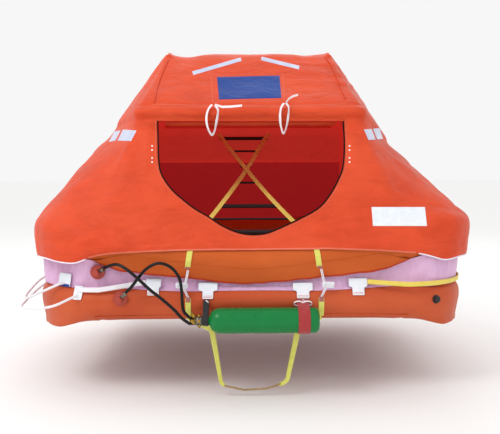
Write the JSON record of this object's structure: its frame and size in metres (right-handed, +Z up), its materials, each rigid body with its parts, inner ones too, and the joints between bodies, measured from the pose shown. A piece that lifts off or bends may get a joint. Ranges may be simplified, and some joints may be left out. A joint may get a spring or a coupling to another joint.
{
  "type": "inflatable life raft",
  "caption": "Canopied inflatable life raft: two stacked buoyancy tubes, arch-held tent canopy with a round-bottomed door, boarding ladder and a slung gas cylinder.",
  "frame": {"origin": "middle of the raft in plan, at the waterline, 50 mm above the underside of the lower tube's straight runs", "axes": "+X along the raft's longer side, to the right seen from the door; +Y from the door to the rear; +Z up"},
  "size_m": [2.1476, 1.7273, 1.6514],
  "materials": {
    "canopy_cloth": "coated nylon, satin",
    "tube_cloth": "rubberised fabric, satin",
    "arch_cloth": "rubberised fabric, satin",
    "band_cloth": "coated cloth, matt",
    "floor_cloth": "rubberised fabric, matt",
    "patch_cloth": "coated cloth, matt",
    "white_webbing": "woven webbing",
    "yellow_webbing": "woven webbing",
    "red_webbing": "woven webbing",
    "black_rubber": "satin black",
    "green_paint": "gloss green enamel",
    "valve_brass": "dull machined",
    "red_plastic": "moulded, satin",
    "pale_plastic": "coated cloth, satin"
  },
  "bodies": {
    "raft": {"lower_tube": "tube_cloth", "upper_tube": "tube_cloth", "tube_band": "band_cloth", "floor": "floor_cloth", "canopy_front": "canopy_cloth", "canopy_rear": "canopy_cloth", "canopy_side_right": "canopy_cloth", "canopy_side_left": "canopy_cloth", "canopy_skirt_right": "canopy_cloth", "canopy_skirt_left": "canopy_cloth", "canopy_roof_front": "canopy_cloth", "canopy_roof_rear": "canopy_cloth", "canopy_gable_right": "canopy_cloth", "canopy_gable_left": "canopy_cloth", "arch_centre": "arch_cloth", "arch_front": "arch_cloth", "arch_rear": "arch_cloth", "door_curtain_roll": "canopy_cloth", "curtain_tie_left": "white_webbing", "curtain_tie_right": "white_webbing", "tee_patch_1": "patch_cloth", "tee_patch_2": "patch_cloth", "tee_patch_3": "patch_cloth", "tee_patch_4": "patch_cloth", "ladder_anchor_left": "patch_cloth", "ladder_anchor_right": "patch_cloth", "ladder_strap_left": "yellow_webbing", "ladder_strap_right": "yellow_webbing", "inner_strap_left": "yellow_webbing", "inner_strap_right": "yellow_webbing", "inner_rung_1": "black_rubber", "inner_rung_2": "black_rubber", "inner_rung_3": "black_rubber", "inlet_upper": "red_plastic", "inlet_lower": "red_plastic", "inflation_hose_upper": "black_rubber", "inflation_hose_lower": "black_rubber", "relief_valve": "black_rubber", "line_patch_right_front": "patch_cloth", "line_patch_right_rear": "patch_cloth", "line_patch_left_rear": "patch_cloth", "line_patch_left_front": "patch_cloth", "line_patch_corner": "patch_cloth", "line_patch_front_left": "patch_cloth", "lifeline_right": "yellow_webbing", "lifeline_rear": "yellow_webbing", "lifeline_front_left": "white_webbing", "lifeline_left_upper": "white_webbing", "lifeline_left_lower": "white_webbing", "water_pocket_front_left": "black_rubber", "water_pocket_front_right": "black_rubber", "water_pocket_rear_left": "black_rubber", "water_pocket_rear_right": "black_rubber", "righting_strap": "white_webbing", "equipment_pouch": "pale_plastic"},
    "cylinder": {"gas_cylinder": "green_paint", "valve_head": "valve_brass", "neck_sling": "black_rubber", "base_sling": "red_webbing"},
    "ladder": {"boarding_ladder": "yellow_webbing"}
  },
  "joints": [
    {"name": "cylinder_swing", "type": "hinge", "parent": "raft", "child": "cylinder", "pos_m": [0, -0.8043, 0.0485], "axis": [-1, 0, 0], "range_deg": [0, 40]},
    {"name": "ladder_swing", "type": "hinge", "parent": "raft", "child": "ladder", "pos_m": [0, -0.782, -0.03], "axis": [1, 0, 0], "range_deg": [-25, 60]}
  ]
}
